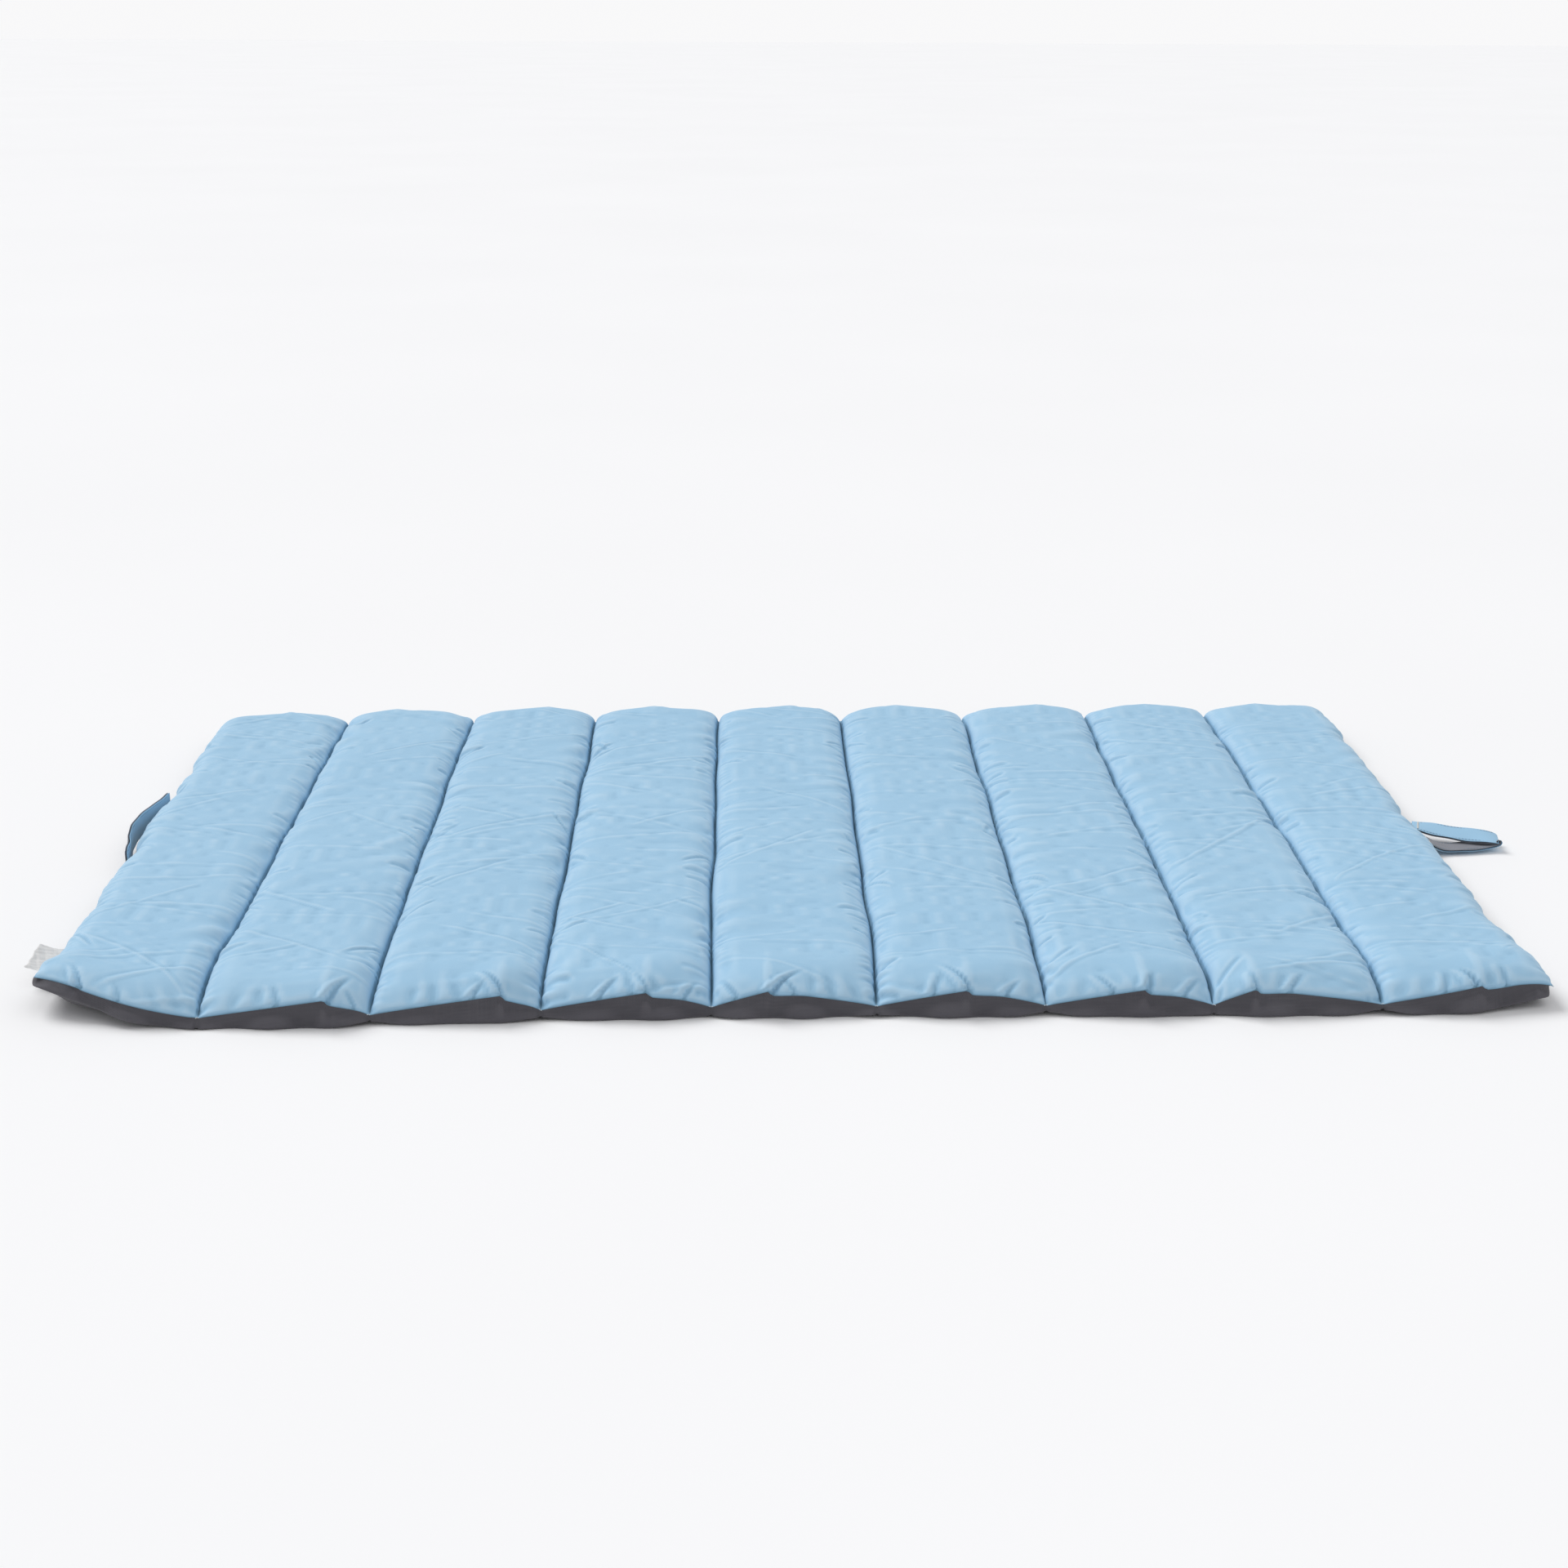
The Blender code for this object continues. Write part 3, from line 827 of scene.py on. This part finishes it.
# ---- straps
STRAP_CLOTH = 0.0008
STRAP_PLY_OFFSET = 0.0008  # from a strap's middle to the middle of either cloth
EDGE_CLEARANCE = 0.002  # from the outer seam to where a strap leaves it
STRAP_ROWS = 97
EDGE_ROW = 0.82  # share of the half width at which a strap's edge is sewn
ROW_PITCH = 0.0028  # from one of these stitches to the next
LEAST_HALF = 0.00002  # half of a thin body's least thickness, at its rim


def smooth_curve(stations, count):
    """Catmull-Rom points through stations."""
    values = np.array(stations, float)
    padded = with_ends(values)
    places = np.linspace(0.0, len(values) - 1.0, count)
    first = np.minimum(places.astype(int), len(values) - 2)
    return catmull_rom(*(padded[first + step] for step in range(4)), (places - first)[:, None])


class Ribbon:
    """The run of a strap: its middle line and, at each row, its width and normal directions."""

    def __init__(self, stations, half_width):
        """Each station is a point on the middle line and the way the strap's width points there."""
        centres, widths = zip(*stations)
        self.centre = smooth_curve(centres, STRAP_ROWS)
        forward = np.gradient(self.centre, axis=0)
        forward = forward / np.linalg.norm(forward, axis=1, keepdims=True)
        width = smooth_curve(widths, STRAP_ROWS)
        width -= forward * (width * forward).sum(1, keepdims=True)
        self.width = width / np.linalg.norm(width, axis=1, keepdims=True)
        self.normal = np.cross(forward, self.width)
        steps = np.linalg.norm(np.diff(self.centre, axis=0), axis=1)
        self.run = np.concatenate([[0.0], np.cumsum(steps)])
        self.half_width = half_width

    def point(self, run, side, offset):
        """The point at a length of run, a share of the half width to one side, off the middle."""
        table = np.concatenate([self.centre, self.width, self.normal], 1)
        values = np.array([np.interp(run, self.run, column) for column in table.T])
        return values[:3] + values[3:6] * side * self.half_width + values[6:] * offset

    def stitch(self, first, last, normal_at, face, above, radius):
        """One stitch on a face, 1 or -1, between two places, each (run, side)."""
        lift = face * (STRAP_PLY_OFFSET + STRAP_CLOTH / 2 + above)
        normal = self.point(*normal_at, 1.0) - self.point(*normal_at, 0.0)
        rings = stitch_rings(self.point(*first, lift), self.point(*last, lift), normal * face, radius)
        return loft(rings)


def make_ply(name, ribbon, side, material, body, seed):
    """One cloth of a strap: rounded edges, a sewn groove along both of them and soft waves."""
    rng = seeded(seed)
    share = np.linspace(-1.0, 1.0, 33)
    run = ribbon.run[:, None]
    wave = waves(rng, run, 0.03, 3)
    ends = ease(run / 0.008) * ease((ribbon.run[-1] - run) / 0.008)
    cup = 0.0003 * wave * ends * share
    sewn = bell(np.abs(share) - EDGE_ROW, 0.05) * 0.00013
    half = STRAP_CLOTH / 2 * np.clip(1.0 - np.abs(share) ** 14, 0.0, 1.0) ** 0.5
    pinch = (half * 0.9 - sewn * (0.6 + 0.4 * np.sin(run * 2 * math.pi / ROW_PITCH))) + LEAST_HALF
    middle = side * STRAP_PLY_OFFSET + cup
    width = ribbon.half_width * (1.0 - 0.012 + 0.01 * waves(rng, run, 0.022, 3) * ends)
    across = ribbon.centre[:, None] + ribbon.width[:, None] * (share * width)[..., None]
    upper = across + ribbon.normal[:, None] * (middle + pinch)[..., None]
    lower = across + ribbon.normal[:, None] * (middle - pinch)[..., None]
    flat = share * ribbon.half_width + 0.0 * run
    ply = add_thin_body(name, upper, lower, flat, run + 0.0 * flat, material)
    declare(ply, [name.replace("cloth_", "")], body)


def make_tack(name, ribbon, share, face, looks, body):
    """A bar tack: dense stitches side by side across the strap."""
    run = share * ribbon.run[-1]
    bodies = []
    for place in np.linspace(-0.74, 0.74, 22):
        first = (run - 0.001, place - 0.02)
        last = (run + 0.001, place + 0.02)
        bodies.append(ribbon.stitch(first, last, (run, place), face, above=0.0003, radius=0.0003))
    make_stitches(f"cloth_{name}", bodies, looks, "light_thread", body, (name,))


def make_edge_rows(name, ribbon, looks, body):
    """Two rows of small stitches along a strap, on both of its faces."""
    bodies = []
    for face in (1.0, -1.0):
        for side in (-EDGE_ROW, EDGE_ROW):
            for run in np.arange(0.004, ribbon.run[-1] - 0.006, ROW_PITCH):
                first = (run, side)
                last = (run + 0.0023, side)
                bodies.append(ribbon.stitch(first, last, first, face, above=0.00002, radius=0.00019))
    make_stitches(name, bodies, looks, "seam_thread", body)


def edge_strap_ribbon():
    """The band that stands on its edge along the left side, sewn at both ends and bowed between."""
    face_low, face_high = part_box("edge_strap_face")
    back_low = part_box("edge_strap_backing")[0]
    edge = LEFT_X - EDGE_CLEARANCE
    bow = edge - back_low.x - STRAP_PLY_OFFSET - STRAP_CLOTH / 2
    level = (face_low.z + face_high.z) / 2
    stations = []
    for share in np.linspace(0.0, 1.0, 9):
        y = face_low.y + share * (face_high.y - face_low.y)
        x = edge - bow * max(math.sin(math.pi * share), 0.0) ** 1.5
        stations.append(((x, y, level), (0.0, 0.0, 1.0)))
    return Ribbon(stations, (face_high.z - face_low.z) / 2)


def hand_loop_ribbon():
    """Out of the right edge, folded under itself at its tip and back along the ground to the edge."""
    edge = RIGHT_X + EDGE_CLEARANCE
    far_low, far_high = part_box("hand_loop_tack_1")
    near_low, near_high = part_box("hand_loop_tack_2")
    far_y = (far_low.y + far_high.y) / 2
    near_y = (near_low.y + near_high.y) / 2
    level = SEAM_Z + 0.0003
    strap_low, strap_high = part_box("edge_strap_face")
    stations = (
        ((edge, far_y, level), (0.0, 1.0, 0.0)),
        ((edge + 0.02, far_y - 0.006, 0.0112), (0.12, 0.96, 0.2)),
        ((edge + 0.042, far_y - 0.014, 0.0098), (0.2, 0.95, 0.24)),
        ((edge + 0.06, far_y - 0.0205, 0.01), (0.25, 0.94, 0.22)),
        ((edge + 0.0695, near_y + 0.0095, 0.0076), (0.15, 0.98, 0.08)),
        ((edge + 0.062, near_y + 0.008, 0.0046), (0.05, 1.0, 0.02)),
        ((edge + 0.04, near_y + 0.0035, 0.0036), (0.0, 1.0, 0.0)),
        ((edge + 0.018, near_y + 0.001, 0.0046), (0.0, 1.0, 0.0)),
        ((edge, near_y, level), (0.0, 1.0, 0.0)),
    )
    return Ribbon(stations, (strap_high.z - strap_low.z) / 2)


def make_strap(body, ribbon, tack_faces, looks, seed):
    make_ply(f"cloth_{body}_face", ribbon, 1.0, looks["blue_cloth"], body, seed)
    make_ply(f"cloth_{body}_backing", ribbon, -1.0, looks["strap_lining"], body, seed)
    for number, share, face in ((1, 0.035, tack_faces[0]), (2, 0.965, tack_faces[1])):
        make_tack(f"{body}_tack_{number}", ribbon, share, face, looks, body)
    make_edge_rows(f"{body}_edge_rows", ribbon, looks, body)


# ---- care label
def make_label(material):
    """A pale crinkled satin tag that curls up at its free side."""
    low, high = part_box("care_label")
    rng = seeded(80)
    rows = np.linspace(-0.5, 0.5, 61)
    across = np.linspace(0.0, 1.0, 25)
    reach = high.x - low.x
    length = high.y - low.y
    base_z = SEAM_Z + 0.0003
    along = rows[:, None] + 0.0 * across
    out = across + 0.0 * along
    curl = 0.004 * out**2 + 0.0012 * out * np.sin(2 * math.pi * along)
    crinkle = waves(rng, along * length + 0.4 * out * reach, 0.006, 5) * 0.00022
    crinkle += waves(rng, out * reach - 0.3 * along * length, 0.005, 4) * 0.00012
    middle = base_z + curl + crinkle * ease(out / 0.2)
    rounded = np.minimum(1.0 - np.abs(2 * out - 1.0) ** 16, 1.0 - np.abs(2 * along) ** 24)
    half = 0.00022 * np.clip(rounded, 0.0, 1.0) ** 0.5 + LEAST_HALF
    x = high.x - out * reach + 0.0003 * waves(rng, along * length, 0.02, 2) * out
    y = (low.y + high.y) / 2 + along * length
    upper = np.stack([x, y, middle + half], -1)
    lower = np.stack([x, y, middle - half], -1)
    label = add_thin_body("satin_label", upper, lower, out * reach, y, material)
    declare(label, ["care_label"], "care_label")


# ---- materials
def add_node(tree, kind, inputs=None, **settings):
    """A shader node; inputs are set by name or number, and a socket given there is linked."""
    made = tree.nodes.new(kind)
    for key, value in settings.items():
        setattr(made, key, value)
    for key, value in (inputs or {}).items():
        if isinstance(value, bpy.types.NodeSocket):
            tree.links.new(value, made.inputs[key])
        else:
            made.inputs[key].default_value = value
    return made


class Look:
    """A material while its nodes are made. Most methods return the socket that they end in."""

    def __init__(self, name, roughness, sheen, specular):
        self.material = bpy.data.materials.new(name)
        self.material.use_nodes = True
        self.tree = self.material.node_tree
        self.inputs = self.tree.nodes["Principled BSDF"].inputs
        self.inputs["Roughness"].default_value = roughness
        self.inputs["Sheen Weight"].default_value = sheen
        self.inputs["Sheen Roughness"].default_value = 0.45
        self.inputs["Specular IOR Level"].default_value = specular

    def node(self, kind, output, inputs=None, **settings):
        return add_node(self.tree, kind, inputs, **settings).outputs[output]

    def metres(self, across, along):
        """The cloth's own coordinates, with so many units to a metre."""
        uv = self.node("ShaderNodeUVMap", "UV", uv_map="cloth_metres")
        return self.node("ShaderNodeMapping", "Vector", {"Vector": uv, "Scale": (across, along, 1.0)})

    def noise(self, vector, detail=3.0, roughness=0.55):
        """Noise between about 0.3 and 0.7, one wave to a unit of the vector."""
        inputs = {"Vector": vector, "Scale": 1.0, "Detail": detail, "Roughness": roughness}
        return self.node("ShaderNodeTexNoise", "Fac", inputs)

    def ranged(self, value, low, high, to_low=0.0, to_high=1.0):
        inputs = {"Value": value, "From Min": low, "From Max": high, "To Min": to_low, "To Max": to_high}
        return self.node("ShaderNodeMapRange", "Result", inputs)

    def calculate(self, operation, first, second):
        return self.node("ShaderNodeMath", "Value", {0: first, 1: second}, operation=operation)

    def mixed(self, share, first, second):
        """A colour between two colours, each a socket or (red, green, blue)."""
        ends = [end if isinstance(end, bpy.types.NodeSocket) else (*end, 1.0) for end in (first, second)]
        return self.node("ShaderNodeMix", 2, {0: share, 6: ends[0], 7: ends[1]}, data_type="RGBA")

    def tinted(self, cloth, value, strength, colour):
        return self.mixed(self.calculate("MULTIPLY", value, strength), cloth, colour)

    def mottled(self, scale, first, second):
        """Two colours in soft patches, about scale patches to a metre."""
        return self.mixed(self.ranged(self.noise(self.metres(scale, scale)), 0.3, 0.7), first, second)

    def threads(self, pitch):
        """Plain weave, 0 between threads and 1 on top of one, from two crossed sets of threads."""
        frequency = 2 * math.pi / pitch
        parts = add_node(self.tree, "ShaderNodeSeparateXYZ", {"Vector": self.metres(frequency, frequency)})
        warp, weft = (self.calculate("SINE", parts.outputs[axis], 0.0) for axis in ("X", "Y"))
        return self.ranged(self.calculate("MULTIPLY", warp, weft), -1.0, 1.0)

    def slubs(self):
        """Uneven threads: fine streaks along both directions of the weave, about 0.75 to 1.25."""
        warp = self.noise(self.metres(1500.0, 60.0), 2.0)
        weft = self.noise(self.metres(60.0, 1500.0), 2.0)
        return self.calculate("ADD", warp, weft)

    def crest(self):
        """-1 in a crease to 1 on a ridge, from the shape of the cloth, and -2 in a sewn line; it drives
        painted highlight and painted shade.
        """
        return self.node("ShaderNodeAttribute", "Fac", attribute_name="crest")

    def finish(self, colour, roughness=None, *layers):
        """Feeds the shader, with bump layers of (height socket, distance in metres, strength)."""
        normal = None
        for height, distance, strength in layers:
            inputs = {"Height": height, "Distance": distance, "Strength": strength}
            if normal:
                inputs["Normal"] = normal
            normal = self.node("ShaderNodeBump", "Normal", inputs)
        for name, socket in (("Base Color", colour), ("Roughness", roughness), ("Normal", normal)):
            if socket:
                self.tree.links.new(socket, self.inputs[name])
        return self.material


def blue_cloth_material():
    """Light blue brushed cloth: fine weave, faint streaks, a painted highlight on the ridges and painted
    shade in the creases and sewn lines.
    """
    look = Look("blue_cloth", 0.72, 0.22, 0.3)
    look.inputs["Sheen Tint"].default_value = (0.8, 0.92, 1.0, 1.0)
    slubs, weave, crest = look.slubs(), look.threads(0.0009), look.crest()
    cloth = look.mottled(7.0, (0.33, 0.562, 0.76), (0.362, 0.594, 0.786))
    cloth = look.tinted(cloth, look.ranged(slubs, 0.75, 1.25), 0.2, (0.33, 0.55, 0.76))
    cloth = look.tinted(cloth, weave, 0.16, (0.47, 0.68, 0.85))
    # painted highlight: lighter on the ridges
    cloth = look.mixed(look.ranged(crest, 0.15, 1.0, 0.0, 0.45), cloth, (0.53, 0.72, 0.87))
    # painted shade: darker in the creases
    cloth = look.mixed(look.ranged(crest, -0.25, -1.0, 0.0, 0.3), cloth, (0.17, 0.36, 0.54))
    # painted shade: very dark in the sewn lines
    cloth = look.mixed(look.ranged(crest, -1.0, -2.0, 0.0, 0.7), cloth, (0.03, 0.12, 0.19))
    rough = look.ranged(slubs, 0.75, 1.25, 0.64, 0.82)
    return look.finish(cloth, rough, (slubs, 0.0001, 0.35), (weave, 0.00007, 0.45))


def grey_cloth_material():
    """Dark grey canvas with a visible weave, and a painted highlight on its ridges."""
    look = Look("grey_cloth", 0.85, 0.18, 0.25)
    slubs, weave, crest = look.slubs(), look.threads(0.0011), look.crest()
    cloth = look.mottled(18.0, (0.066, 0.064, 0.074), (0.088, 0.086, 0.098))
    cloth = look.tinted(cloth, weave, 0.3, (0.17, 0.165, 0.185))
    cloth = look.tinted(cloth, look.ranged(slubs, 0.75, 1.25), 0.25, (0.045, 0.044, 0.052))
    # painted highlight: paler on the ridges
    cloth = look.mixed(look.ranged(crest, 0.2, 1.0, 0.0, 0.35), cloth, (0.16, 0.155, 0.175))
    rough = look.ranged(slubs, 0.75, 1.25, 0.76, 0.94)
    return look.finish(cloth, rough, (slubs, 0.00014, 0.45), (weave, 0.00012, 0.6))


def strap_lining_material():
    """Mid-grey strap cloth, paler than the underside, with a visible weave."""
    look = Look("strap_lining", 0.82, 0.2, 0.3)
    weave = look.threads(0.0009)
    cloth = look.mottled(40.0, (0.185, 0.19, 0.215), (0.225, 0.232, 0.262))
    cloth = look.tinted(cloth, weave, 0.35, (0.34, 0.35, 0.39))
    rough = look.ranged(weave, 0.0, 1.0, 0.88, 0.74)
    return look.finish(cloth, rough, (look.slubs(), 0.0001, 0.4), (weave, 0.0001, 0.6))


def wadding_material():
    """Loose white polyester fibre."""
    look = Look("wadding", 0.95, 0.3, 0.2)
    fluff = look.noise(look.metres(420.0, 420.0), 6.0, 0.7)
    clumps = look.noise(look.metres(60.0, 60.0))
    white = look.mixed(look.ranged(fluff, 0.3, 0.7), (0.68, 0.68, 0.66), (0.9, 0.9, 0.88))
    rough = look.ranged(fluff, 0.3, 0.7, 0.85, 1.0)
    return look.finish(white, rough, (clumps, 0.002, 0.6), (fluff, 0.0008, 0.8))


def thread_material(name, dark, light):
    """Twisted sewing thread."""
    look = Look(name, 0.55, 0.25, 0.4)
    twist = look.noise(look.metres(2600.0, 2600.0), 2.0)
    thread = look.mixed(look.ranged(twist, 0.35, 0.65), dark, light)
    return look.finish(thread, look.ranged(twist, 0.35, 0.65, 0.45, 0.7), (twist, 0.00008, 0.6))


def label_material():
    """Off-white satin ribbon with faint ribs and a soft gloss."""
    look = Look("label_satin", 0.38, 0.15, 0.5)
    ribs = look.threads(0.0006)
    satin = look.mottled(160.0, (0.66, 0.65, 0.64), (0.8, 0.79, 0.775))
    return look.finish(satin, look.ranged(ribs, 0.0, 1.0, 0.3, 0.5), (ribs, 0.00005, 0.35))


def floor_material():
    """Seamless studio paper, very slightly mottled."""
    look = Look("studio_paper", 0.8, 0.0, 0.1)
    mottle = look.ranged(look.noise(look.node("ShaderNodeTexCoord", "Object"), 2.0), 0.3, 0.7)
    return look.finish(look.mixed(mottle, (0.945, 0.945, 0.95), (0.96, 0.96, 0.965)))


# ---- studio
def make_floor():
    """A wide pale floor."""
    reach = 40.0
    steps = np.linspace(-reach, reach, 9)
    points = [(x, y, -0.0002) for y in steps for x in steps]
    numbers = np.arange(len(points)).reshape(len(steps), len(steps))
    faces = grid_faces(numbers, True).tolist()
    floor = add_mesh("studio_floor", points, faces, [point[:2] for point in points], floor_material())


def make_world():
    """An even near-white surround: dimmer as a light than it looks, so that the suns give shape."""
    world = bpy.data.worlds.new("studio")
    world.use_nodes = True
    tree = world.node_tree
    light = tree.nodes["Background"]
    light.inputs["Color"].default_value = (0.975, 0.98, 1.0, 1.0)
    light.inputs["Strength"].default_value = 0.5
    seen = add_node(tree, "ShaderNodeBackground", {"Color": (0.945, 0.943, 0.95, 1.0), "Strength": 1.0})
    path = add_node(tree, "ShaderNodeLightPath")
    both = add_node(tree, "ShaderNodeMixShader", {0: path.outputs["Is Camera Ray"]})
    tree.links.new(light.outputs["Background"], both.inputs[1])
    tree.links.new(seen.outputs["Background"], both.inputs[2])
    tree.links.new(both.outputs["Shader"], tree.nodes["World Output"].inputs["Surface"])
    bpy.context.scene.world = world


def make_lights():
    """A broad key from behind on the left, and a weak fill from above on the right."""
    for name, energy, spread, direction in (
        ("key", 1.75, 32.0, (0.52, -0.42, -0.74)),
        ("fill", 0.3, 60.0, (-0.35, 0.2, -0.9)),
    ):
        light = link(name, bpy.data.lights.new(name, "SUN"))
        light.data.energy = energy
        light.data.angle = math.radians(spread)
        light.rotation_euler = Vector(direction).to_track_quat("-Z", "Y").to_euler()


def make_camera():
    """A normal lens in front of the mat, a little left of its middle, looking down at 19 degrees."""
    camera = link("camera", bpy.data.cameras.new("camera"))
    camera.data.lens = 51.88
    camera.data.sensor_width = 36.0
    place = Matrix.Translation((-0.0371, -1.8306, 0.697))
    heading = Matrix.Rotation(math.radians(-1.1177), 4, "Z")
    tilt = Matrix.Rotation(math.radians(90 - 19.1214), 4, "X")
    roll = Matrix.Rotation(math.radians(0.2727), 4, "Z")
    camera.matrix_world = place @ heading @ tilt @ roll
    bpy.context.scene.camera = camera


def build():
    looks = {
        "blue_cloth": blue_cloth_material(),
        "grey_cloth": grey_cloth_material(),
        "strap_lining": strap_lining_material(),
        "wadding": wadding_material(),
        "seam_thread": thread_material("seam_thread", (0.1, 0.2, 0.3), (0.22, 0.38, 0.52)),
        "light_thread": thread_material("light_thread", (0.6, 0.6, 0.58), (0.84, 0.84, 0.82)),
        "label_satin": label_material(),
    }
    top, bottom, cut = make_cloths()
    make_cloth_pieces("blue_top", "top_panel", top, cut, True, looks, "blue_cloth")
    make_cloth_pieces("grey_base", "bottom_panel", bottom, cut, False, looks, "grey_cloth")
    make_wadding(looks["wadding"])
    make_seam_stitches(cut, looks)
    make_thread_tails(cut, looks)
    make_strap("edge_strap", edge_strap_ribbon(), (-1.0, -1.0), looks, 70)
    make_strap("hand_loop", hand_loop_ribbon(), (1.0, -1.0), looks, 71)
    make_label(looks["label_satin"])
    make_floor()
    make_world()
    make_lights()
    make_camera()
    bpy.context.scene.view_settings.view_transform = "Standard"


build()
